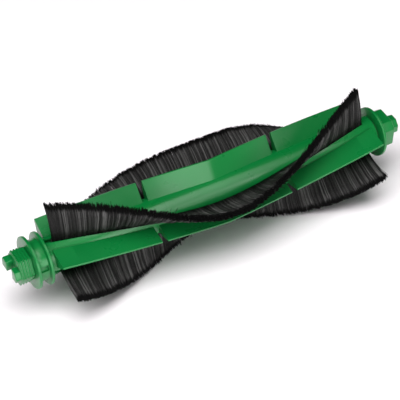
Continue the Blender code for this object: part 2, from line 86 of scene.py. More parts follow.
MIDDLE = middle_of("bristle_row_1").x
CORE_LOW, CORE_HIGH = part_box("core_tube")
GUARD_LOW, GUARD_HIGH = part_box("hair_guard_spool")
KEY_LOW, KEY_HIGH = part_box("drive_key")
BLOCK_LOW, BLOCK_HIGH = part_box("bearing_block")


# ---- Sizes and colours -------------------------------------------------------
def length(name, description, millimetres):
    return FloatProperty(name=name, description=description, default=millimetres * MM, unit="LENGTH")


def turn(name, description, degrees):
    return FloatProperty(name=name, description=description, default=math.radians(degrees), subtype="ANGLE")


def share(name, description, value):
    return FloatProperty(name=name, description=description, default=value, min=0.0, subtype="FACTOR")


def colour(name, description, value):
    return FloatVectorProperty(name=name, description=description, default=value, size=3,
                               min=0.0, max=1.0, subtype="COLOR")


class ROLLER_PG_core(bpy.types.PropertyGroup):
    """Sizes of the moulded core."""
    bore: length("Bore radius", "Radius of the hole through the core", 4.5)
    mouth: length("Slot mouth", "Width of the slot that a bristle row comes out of", 2.5)
    lip: length("Slot lip", "Thickness of the lips that hold a bristle strip", 0.9)
    slot: length("Slot width", "Width of the slot under its lips", 3.3)
    depth: length("Slot depth", "Depth of the slot below the surface", 2.2)
    edge: length("Edge rounding", "Rounding of the core's edges", 0.12)
    stations: IntProperty(name="Stations", description="Cross-sections along the V", default=96, min=8)


class ROLLER_PG_rows(bpy.types.PropertyGroup):
    """Sizes of the bristle rows."""
    half_length: length("Half length", "Half the length of a row along the roller", 72.2)
    root_angle: turn("Root angle", "Turn of the middle of the first row from the front", 3.1)
    sweep: turn("Sweep", "Turn from the middle of the V to its ends", 86.2)
    rounding: share("Kink rounding", "Rounding of the V's kink as a share of the half length", 0.257)
    lean: turn("Lean", "Turn from a filament's root to its tip", 13.0)
    tip: length("Tip radius", "Radius of the circle that the tips sweep", 22.8)
    root_width: length("Root width", "Width of a row where it leaves the core", 2.0)
    tip_width: length("Tip width", "Width of a row at its tips", 2.7)
    filament: length("Filament", "Diameter of one nylon filament", 0.27)
    strand: length("Strand", "Width of a strand of filaments that share a tone", 0.3)
    count: IntProperty(name="Filaments", description="Filaments in one row", default=8000, min=100)


class ROLLER_PG_fins(bpy.types.PropertyGroup):
    """Sizes of the wiper fins."""
    half_length: length("Half length", "Half the length of a fin along the roller", 74.25)
    tip: length("Tip radius", "Radius of a fin's outer edge", 15.4)
    tip_width: length("Edge width", "Width of a fin's outer edge", 0.8)
    tip_angle: turn("Edge angle", "Turn of the outer edge in the middle of the V", -16.5)
    front: turn("Front angle", "Turn of the front foot in the middle of the V", -36.0)
    back: turn("Back angle", "Turn of the back foot in the middle of the V", -9.0)
    back_step: length("Back step", "Height of the small step along the back foot", 0.6)
    sweep: turn("Sweep", "Turn from the middle of the V to its ends", 35.9)
    back_sweep: turn("Back sweep", "Turn of the back foot from the middle to the ends", 63.0)
    rounding: share("Kink rounding", "Rounding of the V's kink as a share of the half length", 0.008)
    edge: length("Edge rounding", "Rounding of the outer edge", 0.22)
    notch: length("Notch width", "Width of the two notches", 2.6)
    notch_offset: length("Notch offset", "Distance of a notch from the middle", 30.2)
    stations: IntProperty(name="Stations", description="Cross-sections along the V", default=120, min=8)


class ROLLER_PG_ends(bpy.types.PropertyGroup):
    """Sizes of the driven end and of the bearing end."""
    guard_radius: length("Guard radius", "Radius of the two guard discs", 11.0)
    guard_rim: length("Guard thickness", "Thickness of a guard disc", 1.2)
    drum: length("Drum radius", "Radius of the drum between the discs", 8.6)
    window_height: length("Window height", "Height of the window in the drum", 2.5)
    window_depth: length("Window depth", "Depth of the window in the drum", 0.9)
    window_angle: turn("Window angle", "Turn of the window from the front", 14.0)
    key: length("Key radius", "Radius of the hexagonal barrel over its corners", 7.2)
    key_angle: turn("Key angle", "Turn of the hexagon", -1.5)
    key_length: length("Key length", "Length of the hexagonal barrel", 5.8)
    rib: length("Rib height", "Height of the ribs around the barrel", 0.5)
    rib_width: length("Rib width", "Width of a rib", 0.6)
    rib_pitch: length("Rib pitch", "Distance between ribs", 1.2)
    rib_start: length("Rib start", "Distance of the first rib from the disc", 1.7)
    shank: length("Shank radius", "Radius of the key's shank", 4.3)
    prong_gap: length("Prong gap, wide side", "Distance of the wide prong from the axis", 2.0)
    wide_far: length("Wide prong reach", "Distance of the wide prong's outer face from the axis", 8.0)
    wide_half: length("Wide prong", "Half the height of the wide prong", 2.7)
    narrow_near: length("Prong gap, narrow side", "Distance of the narrow prong from the axis", 1.0)
    narrow_far: length("Narrow prong reach", "Distance of the narrow prong's outer face from the axis", 5.7)
    narrow_low: length("Narrow prong bottom", "Height of the narrow prong below the axis", 1.1)
    narrow_high: length("Narrow prong top", "Height of the narrow prong above the axis", 3.7)
    prong_cut: length("Prong difference", "How much shorter the wide prong is", 0.7)
    flange: length("Flange radius", "Radius of the bearing block's flange", 10.85)
    flange_width: length("Flange width", "Thickness of the flange", 1.3)
    block: length("Block half width", "Half the width of the square block", 6.9)
    block_angle: turn("Block angle", "Turn of the square block", -3.0)
    block_length: length("Block length", "Length of the square block", 6.3)
    chamfer: length("Block chamfer", "Chamfer of the block's long edges", 2.8)
    spigot: length("Spigot radius", "Radius of the spigot over its corners", 4.15)
    edge: length("Edge rounding", "Rounding of the edges of both ends", 0.3)


class ROLLER_PG_colours(bpy.types.PropertyGroup):
    """Colours of the finishes."""
    green: colour("Moulding green", "Colour of the moulded pieces", (0.002, 0.15, 0.028))
    green_pale: colour("Pale green", "Colour of the faintly paler patches", (0.0042, 0.173, 0.038))
    bristle: colour("Bristle black", "Colour of most filaments", (0.0042, 0.004, 0.004))
    # The palest filaments paint the sheen streaks along the filaments, on top of their random strand tone.
    bristle_sheen_grey: colour("Bristle grey", "Colour of the palest filaments", (0.145, 0.142, 0.14))
    strip: colour("Strip black", "Colour of the bristle strips", (0.022, 0.022, 0.023))
    steel: colour("Steel", "Colour of the shaft and the bearing", (0.55, 0.56, 0.58))
    brass: colour("Brass", "Colour of the ball cage", (0.52, 0.38, 0.14))
    felt: colour("Felt", "Colour of the dust seal", (0.32, 0.31, 0.29))
    floor: colour("Floor", "Colour of the floor", (0.96, 0.915, 0.945))


GROUPS = {
    "roller_core": ROLLER_PG_core, "roller_rows": ROLLER_PG_rows, "roller_fins": ROLLER_PG_fins,
    "roller_ends": ROLLER_PG_ends, "roller_colours": ROLLER_PG_colours,
}


# ---- Node trees --------------------------------------------------------------
class Value:
    """A number that changes over a surface; arithmetic on it adds Math nodes."""

    def __init__(self, look, socket):
        self.look, self.socket = look, socket

    def math(self, operation, first, second):
        return self.look.node("ShaderNodeMath", {"operation": operation}, {0: first, 1: second})

    def __add__(self, other):
        return self.math("ADD", self, other)

    __radd__ = __add__

    def __mul__(self, other):
        return self.math("MULTIPLY", self, other)

    __rmul__ = __mul__

    def __sub__(self, other):
        return self.math("SUBTRACT", self, other)

    def __rsub__(self, other):
        return self.math("SUBTRACT", other, self)

    def clamped(self):
        return self.look.node("ShaderNodeClamp", {}, {"Value": self})


class Look:
    """One procedural material."""

    def __init__(self, name, **constants):
        self.material = bpy.data.materials.new(name)
        self.material.use_nodes = True
        self.tree = self.material.node_tree
        self.shader = self.tree.nodes["Principled BSDF"]
        self.feed(self.shader, constants)

    def feed(self, node, values):
        for key, value in values.items():
            socket = node.inputs[key.replace("_", " ") if isinstance(key, str) else key]
            if isinstance(value, Value):
                self.tree.links.new(value.socket, socket)
            elif socket.type == "RGBA" and len(value) == 3:
                socket.default_value = (*value, 1.0)
            else:
                socket.default_value = value

    def node(self, kind, settings, inputs, output=0):
        node = self.tree.nodes.new(kind)
        for key, value in settings.items():
            setattr(node, key, value)
        self.feed(node, inputs)
        return Value(self, node.outputs[output])

    def place(self, stretch=(1.0, 1.0, 1.0)):
        """The point on the object, stretched along its axes."""
        here = self.node("ShaderNodeTexCoord", {}, {}, "Object")
        return self.node("ShaderNodeMapping", {}, {"Vector": here, "Scale": stretch})

    def noise(self, scale, detail=3.0, stretch=(1.0, 1.0, 1.0), roughness=0.5):
        return self.node("ShaderNodeTexNoise", {}, {"Vector": self.place(stretch), "Scale": scale,
                                                    "Detail": detail, "Roughness": roughness})

    def ramp(self, value, low, high):
        """0 up to low, 1 from high."""
        return self.node("ShaderNodeMapRange", {"interpolation_type": "SMOOTHSTEP"},
                         {"Value": value, "From Min": low, "From Max": high})

    def mix(self, factor, first, second):
        return self.node("ShaderNodeMix", {"data_type": "RGBA"},
                         {"Factor": factor, "A": first, "B": second}, "Result")

    def attribute(self, name):
        return self.node("ShaderNodeAttribute", {"attribute_name": name}, {}, "Fac")

    def bump(self, height, distance, strength):
        return self.node("ShaderNodeBump", {}, {"Height": height, "Distance": distance, "Strength": strength})

    def finish(self, **values):
        self.feed(self.shader, values)
        return self.material


def moulded_look(name, base, pale, roughness):
    """Injection-moulded plastic: faint flow patches, fine texture, rubbed scratches."""
    look = Look(name, IOR=1.46, Coat_Roughness=0.2)
    flow = look.noise(38.0, 2.0, (0.35, 1.0, 1.0))
    speck = look.noise(5200.0, 2.0)
    scratch = look.noise(1500.0, 4.0, (0.05, 1.0, 1.0), 0.7)
    rubbed = look.ramp(scratch, 0.56, 0.74)
    patch = look.noise(120.0, 3.0)
    tone = look.ramp(flow, 0.35, 0.7) * 0.75 + look.ramp(speck, 0.4, 0.75) * 0.18
    height = look.noise(2400.0, 2.0) * 0.7 + scratch * 0.3
    return look.finish(
        Base_Color=look.mix(tone.clamped(), base, pale),
        Roughness=roughness + (patch - 0.5) * 0.1 + rubbed * 0.1,
        Coat_Weight=0.15 - rubbed * 0.1,
        Normal=look.bump(height, 0.03 * MM, 0.35),
    )


def nylon_look(name, dark, pale):
    """Nylon filaments: each strand has its own random tone, whose pale strands also paint the sheen along the
    filaments; painted shade darkens the roots and the cut tips.
    """
    look = Look(name, IOR=1.5, Specular_IOR_Level=0.1)
    tone, reach = look.attribute("tone"), look.attribute("reach")
    # Painted shade: the band at the cut tips goes black and is also rougher, and the roots deep in the row
    # are darkened.
    tip_shade_band = look.ramp(reach, 0.84, 0.94)
    shaded = (0.12 + tone * 0.88) * (1.0 - tip_shade_band) * (0.3 + 0.7 * look.ramp(reach, 0.12, 0.45))
    return look.finish(
        Base_Color=look.mix(shaded.clamped(), dark, pale),
        Roughness=0.36 + 0.55 * tip_shade_band,
    )


def rubber_look(name, base, roughness):
    """Dull black plastic with a fine mottled texture."""
    look = Look(name, IOR=1.48)
    mottle, fine = look.noise(900.0, 3.0), look.noise(6000.0, 2.0)
    pale = tuple(channel * 1.9 + 0.004 for channel in base)
    return look.finish(
        Base_Color=look.mix(look.ramp(mottle, 0.35, 0.75) * 0.6, base, pale),
        Roughness=roughness + (fine - 0.5) * 0.2,
        Normal=look.bump(fine, 0.02 * MM, 0.5),
    )


def steel_look(name, base, roughness, stretch):
    """Ground metal: fine marks along the direction of grinding, with darker stains."""
    look = Look(name, Metallic=1.0)
    marks = look.noise(2600.0, 4.0, stretch, 0.65)
    stain = look.noise(160.0, 3.0)
    dark = tuple(channel * 0.72 for channel in base)
    return look.finish(
        Base_Color=look.mix(look.ramp(stain, 0.42, 0.78) * 0.6 + marks * 0.2, base, dark),
        Roughness=roughness + (marks - 0.5) * 0.22,
        Normal=look.bump(marks, 0.00002, 0.3),
    )


def felt_look(name, base):
    """Pressed wool felt: matted fibres."""
    look = Look(name, Roughness=0.95, Sheen_Weight=0.4, Sheen_Roughness=0.5)
    fibres = look.noise(3600.0, 5.0, (1.0, 0.3, 0.6), 0.75)
    mat = look.noise(700.0, 4.0)
    pale = tuple(min(1.0, channel * 1.5) for channel in base)
    return look.finish(
        Base_Color=look.mix(fibres * 0.7 + mat * 0.3, base, pale),
        Normal=look.bump(fibres + mat, 0.00008, 0.8),
    )


def floor_look(name, base):
    """A plain matt board."""
    look = Look(name, Specular_IOR_Level=0.1)
    weave = look.noise(40.0, 2.0)
    return look.finish(Base_Color=base, Roughness=0.9 + weave * 0.05)


def paint(piece, look):
    piece.data.materials.clear()
    piece.data.materials.append(look)
    return piece


# ---- Modelling steps ---------------------------------------------------------
def let_go():
    """Leave edit mode and select nothing."""
    if bpy.context.mode != "OBJECT":
        bpy.ops.object.mode_set(mode="OBJECT")
    bpy.ops.object.select_all(action="DESELECT")


def hold(piece):
    """Select this piece alone."""
    let_go()
    piece.select_set(True)
    bpy.context.view_layer.objects.active = piece
    return piece


def named(name):
    """The primitive that was just added, with its place put into its mesh."""
    piece = hold(bpy.context.view_layer.objects.active)
    piece.name = piece.data.name = name
    bpy.ops.object.transform_apply(location=True, rotation=True, scale=True)
    return piece


def ring_point(x, radius, angle):
    """A point at a radius; 0 is the front and a quarter turn the top."""
    return Vector((MIDDLE + x, -radius * math.cos(angle), radius * math.sin(angle)))


def side_point(x, depth, side, angle):
    """A point at a depth along a spoke, and to one side of it."""
    return ring_point(x, math.hypot(depth, side), angle + math.atan2(side, depth))


def chevron(x, half_length, sweep, rounding):
    """The turn at x of a V with a rounded kink."""
    run = math.hypot(x / half_length, rounding) - rounding
    return sweep * run / (math.hypot(1.0, rounding) - rounding)


def stations(half_length, count):
    """Even places along the roller."""
    return [half_length * (2.0 * step / count - 1.0) for step in range(count + 1)]


def swept(name, rings):
    """Extrude an outline from ring to ring, and move each new end into its place."""
    let_go()
    bpy.ops.mesh.primitive_circle_add(vertices=len(rings[0]), fill_type="NGON")
    piece = named(name)
    bpy.ops.object.mode_set(mode="EDIT")
    bpy.ops.mesh.select_all(action="SELECT")
    shape = bmesh.from_edit_mesh(piece.data)
    for corner, point in zip(shape.verts, rings[0]):
        corner.co = point
    for ring, following in zip(rings, rings[1:]):
        bpy.ops.mesh.extrude_region_move()
        shape = bmesh.from_edit_mesh(piece.data)
        where = {tuple(round(part, 9) for part in Vector(point).to_tuple(7)): index
                 for index, point in enumerate(ring)}
        for corner in (vert for vert in shape.verts if vert.select):
            corner.co = following[where[tuple(round(part, 9) for part in corner.co.to_tuple(7))]]
    bmesh.update_edit_mesh(piece.data)
    bpy.ops.mesh.select_all(action="SELECT")
    bpy.ops.mesh.normals_make_consistent(inside=False)
    return hold(piece)


def spun(name, outline, steps=128):
    """Spin a closed outline of (x, radius) points about the axis."""
    let_go()
    bpy.ops.mesh.primitive_circle_add(vertices=len(outline), fill_type="NOTHING")
    piece = named(name)
    bpy.ops.object.mode_set(mode="EDIT")
    shape = bmesh.from_edit_mesh(piece.data)
    for corner, (x, radius) in zip(shape.verts, outline):
        corner.co = ring_point(x, radius, 0.0)
    bmesh.update_edit_mesh(piece.data)
    bpy.ops.mesh.select_all(action="SELECT")
    bpy.ops.mesh.spin(steps=steps, angle=2 * math.pi, center=(MIDDLE, 0.0, 0.0), axis=(1.0, 0.0, 0.0))
    bpy.ops.mesh.select_all(action="SELECT")
    bpy.ops.mesh.remove_doubles(threshold=0.000002)
    bpy.ops.mesh.normals_make_consistent(inside=False)
    return hold(piece)


def bar(name, low, high, angle=0.0):
    """A square bar between two corners, turned about the axis."""
    let_go()
    low, high = Vector(low), Vector(high)
    bpy.ops.mesh.primitive_cube_add(size=1.0, location=(low + high) / 2 + Vector((MIDDLE, 0.0, 0.0)),
                                    scale=high - low)
    piece = named(name)
    piece.rotation_euler.x = -angle
    bpy.ops.object.transform_apply(location=False, rotation=True, scale=False)
    return piece


def round_edges(piece, width, segments=3, degrees=28.0):
    """Round the edges that turn by more than some degrees."""
    hold(piece)
    bevel = piece.modifiers.new("rounding", "BEVEL")
    bevel.width, bevel.segments = width, segments
    bevel.limit_method, bevel.angle_limit = "ANGLE", math.radians(degrees)
    bevel.use_clamp_overlap = True
    bevel.miter_outer = "MITER_ARC"
    bpy.ops.object.modifier_apply(modifier=bevel.name)
    return piece


def combine(piece, other, operation="DIFFERENCE"):
    """Cut one shape with another, join it on or keep what both fill, and remove the other."""
    hold(piece)
    step = piece.modifiers.new(other.name, "BOOLEAN")
    step.object, step.operation, step.solver = other, operation, "EXACT"
    bpy.ops.object.modifier_apply(modifier=step.name)
    bpy.data.objects.remove(other, do_unlink=True)
    return piece


def copied(piece, name, angle):
    """A copy with its own mesh, turned about the axis."""
    hold(piece)
    bpy.ops.object.duplicate(linked=False)
    copy = bpy.context.view_layer.objects.active
    copy.name = copy.data.name = name
    copy.rotation_euler.x = -angle
    hold(copy)
    bpy.ops.object.transform_apply(location=False, rotation=True, scale=False)
    return copy


def soften(piece, degrees):
    """Smooth shading, except over edges that turn by more than some degrees."""
    hold(piece)
    bpy.ops.object.shade_smooth_by_angle(angle=math.radians(degrees))
    return piece


def rounded_polygon(corners, radius, steps=4):
    """A convex outline of (a, b) points whose corners are rounded."""
    points = []
    count = len(corners)
    for index, corner in enumerate(corners):
        here = Vector(corner)
        before, after = Vector(corners[index - 1]) - here, Vector(corners[(index + 1) % count]) - here
        half = before.angle(after) / 2
        reach = min(radius / math.tan(half), before.length * 0.45, after.length * 0.45)
        start, end = here + before.normalized() * reach, here + after.normalized() * reach
        for step in range(steps + 1):
            part = step / steps
            points.append((start * (1 - part) + here * part).lerp(here * (1 - part) + end * part, part))
    return points


def belongs(piece, body, slot, *nodes):
    """Tie a piece to its body and hide the nodes that it replaces; the slot argument is not used."""
    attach(piece, body)
    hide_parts(*nodes)
    return piece


# ---- Pieces ------------------------------------------------------------------
class ROLLER_OT_core(bpy.types.Operator):
    """Model the tube with its three slots."""
    bl_idname = "roller.core"
    bl_label = "Core"

    def execute(self, context):
        core, rows = context.scene.roller_core, context.scene.roller_rows
        radius = CORE_HIGH.z
        left, right = CORE_LOW.x - MIDDLE, CORE_HIGH.x - MIDDLE
        edge, over = core.edge, 2.0 * MM
        lip, floor = radius - core.lip, radius - core.depth
        tube = spun("core_body", [
            (right, radius - edge), (right - edge * 0.3, radius - edge * 0.3), (right - edge, radius),
            (left + edge, radius), (left + edge * 0.3, radius - edge * 0.3), (left, radius - edge),
            (left, core.bore), (right, core.bore)], 180)
        wide, narrow = core.slot / 2, core.mouth / 2
        outline = [(radius + over, -narrow), (radius + over, narrow), (lip, narrow), (lip, wide),
                   (floor, wide), (floor, -wide), (lip, -wide), (lip, -narrow)]

        def row_turn(x):
            return rows.root_angle + chevron(x, rows.half_length, rows.sweep, rows.rounding)

        places = [left - over, *stations(rows.half_length, core.stations), rows.half_length + 0.05 * MM]
        slot = swept("slot", [[side_point(x, depth, side, row_turn(x)) for depth, side in outline]
                              for x in places])
        for row in range(ROWS):
            combine(tube, copied(slot, "slot_cut", row * 2 * math.pi / ROWS))
        bpy.data.objects.remove(slot, do_unlink=True)
        soften(tube, 28.0)
        colours = context.scene.roller_colours
        paint(tube, moulded_look("core_green", colours.green, colours.green_pale, 0.28))
        belongs(tube, "roller", "core_green", "core_tube")
        return {"FINISHED"}


class ROLLER_OT_fins(bpy.types.Operator):
    """Model one notched wiper fin, and copy it for each row."""
    bl_idname = "roller.fins"
    bl_label = "Wiper fins"

    def execute(self, context):
        fins, rows = context.scene.roller_fins, context.scene.roller_rows
        seat = CORE_HIGH.z - 0.08 * MM
        half_tip = fins.tip_width / 2
        edge = fins.edge

        def section(x):
            sweep = chevron(x, fins.half_length, fins.sweep, fins.rounding)
            tip = fins.tip_angle + sweep
            front = fins.front + sweep
            back = fins.back + chevron(x, rows.half_length, fins.back_sweep, rows.rounding)
            outer = [side_point(x, fins.tip - edge, -half_tip - 0.05 * MM, tip)]
            for step in range(5):
                corner = math.pi / 2 * step / 4
                outer.append(side_point(x, fins.tip - edge * (1 - math.sin(corner)),
                                        -half_tip + edge * (1 - math.cos(corner)), tip))
            for step in range(5):
                corner = math.pi / 2 * (1 - step / 4)
                outer.append(side_point(x, fins.tip - edge * (1 - math.sin(corner)),
                                        half_tip - edge * (1 - math.cos(corner)), tip))
            step_top = seat + fins.back_step
            foot = [ring_point(x, step_top + 0.12 * MM, back - math.radians(0.7)),
                    ring_point(x, step_top - 0.05 * MM, back), ring_point(x, seat, back)]
            under = [ring_point(x, seat - 0.05 * MM, back + (front - back) * part / 8)
                     for part in range(1, 8)]
            return [*outer, *foot, *under, ring_point(x, seat, front)]

        blade = swept("fin_blade", [section(x) for x in stations(fins.half_length, fins.stations)])
        for side in (-1.0, 1.0):
            low, high = side * fins.notch_offset - fins.notch / 2, side * fins.notch_offset + fins.notch / 2
            inner, outer = CORE_HIGH.z - 0.5 * MM, fins.tip + 2.0 * MM
            combine(blade, spun("notch", [(high, outer), (low, outer), (low, inner), (high, inner)], 72))
        soften(blade, 26.0)
        colours = context.scene.roller_colours
        look = moulded_look("fin_green", colours.green, colours.green_pale, 0.29)
        for row in range(ROWS):
            fin = copied(blade, f"fin_blade_{row + 1}", row * 2 * math.pi / ROWS)
            paint(fin, look)
            belongs(fin, "roller", "fin_green", f"wiper_fin_{row + 1}")
        bpy.data.objects.remove(blade, do_unlink=True)
        return {"FINISHED"}


class ROLLER_OT_bristles(bpy.types.Operator):
    """Model one tapered filament, and set thousands of copies along each row."""
    bl_idname = "roller.bristles"
    bl_label = "Bristle rows"

    # Spreads and waves of the filaments: lengths in metres, leans in radians.
    SEED = 7100
    LEVELS = (0.0, 0.3, 0.68, 1.0)
    TAPER = 0.3
    ROOT_SINK = 1.0 * MM
    END_INSET = 0.15 * MM
    STRAY_SHARE, STRAY_DRIFT, STRAY_LEAN = 0.02, 4.0, np.radians(3.0)
    CLUMP_SCALES, CLUMP_LEAN, LEAN_SPREAD = (1.4 * MM, 2.6 * MM, 6.0 * MM), np.radians(0.45), np.radians(0.5)
    DRIFT_SCALES, DRIFT = (1.1 * MM, 2.3 * MM), 0.12 * MM
    TIP_SCALES, TIP_WAVE, TIP_STRAND, TIP_SPREAD = (0.8 * MM, 1.7 * MM), 0.2 * MM, 0.3 * MM, 0.2 * MM
    TIP_START, TIP_WORN, TIP_PROUD = 0.05 * MM, 0.3 * MM, 0.35 * MM
    BEND = 0.12 * MM
    THICK_SPREAD, TONE_SPREAD, TONE_DARKNESS = (0.85, 1.15), (0.6, 1.4), 3.0
    TONE_SCALES, TONE_LEVEL, TONE_WAVE = (0.9 * MM, 2.1 * MM), 0.9, 0.4

    def execute(self, context):
        rows, colours = context.scene.roller_rows, context.scene.roller_colours
        look = nylon_look("bristle_black", colours.bristle, colours.bristle_sheen_grey)
        stem = self.stem()
        for row in range(ROWS):
            piece = self.row(rows, stem, row)
            paint(piece, look)
            belongs(piece, "roller", "bristle_black", f"bristle_row_{row + 1}")
        return {"FINISHED"}

    def stem(self):
        """One tapered filament of unit height, as its corners and its triangles."""
        rings = []
        for level in self.LEVELS:
            size = 1.0 - self.TAPER * level ** 3
            rings.append([Vector((size * math.cos(corner * 2 * math.pi / 3),
                                  size * math.sin(corner * 2 * math.pi / 3), level))
                          for corner in range(3)])
        seed = swept("filament", rings)
        bpy.ops.object.mode_set(mode="EDIT")
        bpy.ops.mesh.select_all(action="SELECT")
        bpy.ops.mesh.quads_convert_to_tris()
        hold(seed)
        corners = np.array([vert.co for vert in seed.data.vertices])
        faces = np.array([face.vertices for face in seed.data.polygons])
        bpy.data.objects.remove(seed, do_unlink=True)
        return corners, faces

    def waves(self, draw, x, scales):
        """Smooth random waves along the row."""
        total = np.zeros_like(x)
        for scale in scales:
            for part in range(3):
                phase, pitch = draw.uniform(0, 2 * math.pi), scale * draw.uniform(0.7, 1.4)
                total += np.sin(x / pitch * 2 * math.pi + phase) / (3 * len(scales)) ** 0.5
        return total

    def row(self, rows, stem, row):
        """One row of filaments that lean, drift, stray and end unevenly."""
        corners, stem_faces = stem
        draw = np.random.default_rng(self.SEED + row)
        count = rows.count
        half = rows.half_length - self.END_INSET
        x = np.sort(draw.uniform(-half, half, count))
        across = draw.uniform(-1.0, 1.0, count)
        base_run = np.hypot(x / rows.half_length, rows.rounding) - rows.rounding
        turns = rows.root_angle + rows.sweep * base_run / (math.hypot(1.0, rows.rounding) - rows.rounding)
        turns = turns + 2 * math.pi * row / ROWS
        clump = self.waves(draw, x, self.CLUMP_SCALES)
        lean = rows.lean + self.CLUMP_LEAN * clump + self.LEAN_SPREAD * draw.standard_normal(count)
        drift = self.DRIFT * self.waves(draw, x, self.DRIFT_SCALES) + self.DRIFT * draw.standard_normal(count)
        stray = draw.uniform(0, 1, count) < self.STRAY_SHARE
        drift = np.where(stray, drift * self.STRAY_DRIFT, drift)
        lean = np.where(stray, lean + self.STRAY_LEAN * draw.standard_normal(count), lean)
        tip = rows.tip + self.TIP_START - np.abs(draw.standard_normal(count)) * self.TIP_WORN
        strand = ((x + half) / rows.strand).astype(int)
        strands = strand.max() + 1
        tip += self.TIP_WAVE * self.waves(draw, x, self.TIP_SCALES)
        tip += self.TIP_STRAND * draw.standard_normal(strands)[strand]
        tip += self.TIP_SPREAD * draw.standard_normal(count)
        tip = np.minimum(tip, rows.tip + self.TIP_PROUD)
        root = CORE_HIGH.z - self.ROOT_SINK
        bend = draw.standard_normal(count) * self.BEND
        points = []
        for level in self.LEVELS:
            radius = root + (tip - root) * level
            past_mouth = np.clip((radius - CORE_HIGH.z) / (tip - CORE_HIGH.z), 0.0, 1.0)
            width = rows.root_width + (rows.tip_width - rows.root_width) * past_mouth
            side = across * width / 2 + bend * math.sin(math.pi * level)
            angle = turns + lean * past_mouth + np.arctan2(side, radius)
            along = x + drift * past_mouth ** 1.5
            reach = np.hypot(radius, side)
            points.append(np.stack([MIDDLE + along, -reach * np.cos(angle), reach * np.sin(angle)], 1))
        low, high = (np.array(corner) for corner in CAD_BOX)
        points = [np.clip(place, low, high) for place in points]
        direction = points[-1] - points[0]
        direction /= np.linalg.norm(direction, axis=1)[:, None]
        side_way = np.cross(direction, np.array([1.0, 0.0, 0.0]))
        side_way /= np.linalg.norm(side_way, axis=1)[:, None]
        other_way = np.cross(direction, side_way)
        spin = draw.uniform(0, 2 * math.pi, count)
        thick = rows.filament / 2 * draw.uniform(*self.THICK_SPREAD, count)
        rings = [int(np.argmin(np.abs(np.array(self.LEVELS) - corner[2]))) for corner in corners]
        verts = []
        for (a, b, _), ring in zip(corners, rings):
            across_way = thick * (a * np.cos(spin) - b * np.sin(spin))
            along_way = thick * (a * np.sin(spin) + b * np.cos(spin))
            verts.append(points[ring] + across_way[:, None] * side_way + along_way[:, None] * other_way)
        verts = np.stack(verts, 1)
        per = len(corners)
        faces = (stem_faces[None] + (np.arange(count) * per)[:, None, None]).reshape(-1, 3)
        mesh = bpy.data.meshes.new(f"bristles_{row + 1}")
        mesh.vertices.add(count * per)
        mesh.vertices.foreach_set("co", np.clip(verts, low, high).astype(np.float32).ravel())
        mesh.loops.add(faces.size)
        mesh.polygons.add(len(faces))
        mesh.loops.foreach_set("vertex_index", faces.astype(np.int32).ravel())
        mesh.polygons.foreach_set("loop_start", np.arange(0, faces.size, 3, dtype=np.int32))
        mesh.update(calc_edges=True)
        # Random tone per strand; its pale strands are also a painted sheen along the filaments.
        tone = draw.uniform(0, 1, strands)[strand] ** self.TONE_DARKNESS
        tone = tone * draw.uniform(*self.TONE_SPREAD, count)
        wave = self.waves(draw, x, self.TONE_SCALES)
        tone = np.clip(tone * (self.TONE_LEVEL + self.TONE_WAVE * wave), 0, 1)
        for name, values in (("tone", np.repeat(tone, per)), ("reach", np.tile(corners[:, 2], count))):
            layer = mesh.attributes.new(name, "FLOAT", "POINT")
            layer.data.foreach_set("value", values.astype(np.float32))
        mesh.shade_smooth()
        piece = bpy.data.objects.new(f"bristles_{row + 1}", mesh)
        bpy.context.scene.collection.objects.link(piece)
        hold(piece)
        bpy.ops.object.mode_set(mode="EDIT")
        bpy.ops.mesh.select_all(action="SELECT")
        bpy.ops.mesh.normals_make_consistent(inside=False)
        return hold(piece)


class ROLLER_OT_guard(bpy.types.Operator):
    """Model the two discs and their drum, with its window."""
    bl_idname = "roller.guard"
    bl_label = "Hair guard spool"

    def execute(self, context):
        ends = context.scene.roller_ends
        left, right = GUARD_LOW.x - MIDDLE, GUARD_HIGH.x - MIDDLE
        rim, radius, drum, edge = ends.guard_rim, ends.guard_radius, ends.drum, ends.edge
        inner = ends.shank + 0.05 * MM

        def disc(low, high, root_low, root_high):
            outline = [(high, root_high)]
            for step in range(5):
                corner = math.pi / 2 * step / 4
                outline.append((high - edge * (1 - math.cos(corner)), radius - edge * (1 - math.sin(corner))))
            for step in range(5):
                corner = math.pi / 2 * (1 - step / 4)
                outline.append((low + edge * (1 - math.cos(corner)), radius - edge * (1 - math.sin(corner))))
            outline.append((low, root_low))
            return outline

        fillet = 0.25 * MM
        outline = disc(right - rim, right, drum + fillet, inner)
        outline += [(right - rim - fillet * 0.3, drum + fillet * 0.3), (right - rim - fillet, drum),
                    (left + rim + fillet, drum), (left + rim + fillet * 0.3, drum + fillet * 0.3)]
        outline += disc(left, left + rim, inner, drum + fillet)
        spool = spun("guard_spool", outline, 144)
        window = bar("window", (left + rim + 0.15 * MM, -drum - MM, -ends.window_height / 2),
                     (right - rim - 0.15 * MM, ends.window_depth - drum, ends.window_height / 2),
                     ends.window_angle)
        combine(spool, window)
        soften(spool, 30.0)
        colours = context.scene.roller_colours
        paint(spool, moulded_look("guard_green", colours.green, colours.green_pale, 0.3))
        belongs(spool, "roller", "end_green", "hair_guard_spool")
        return {"FINISHED"}


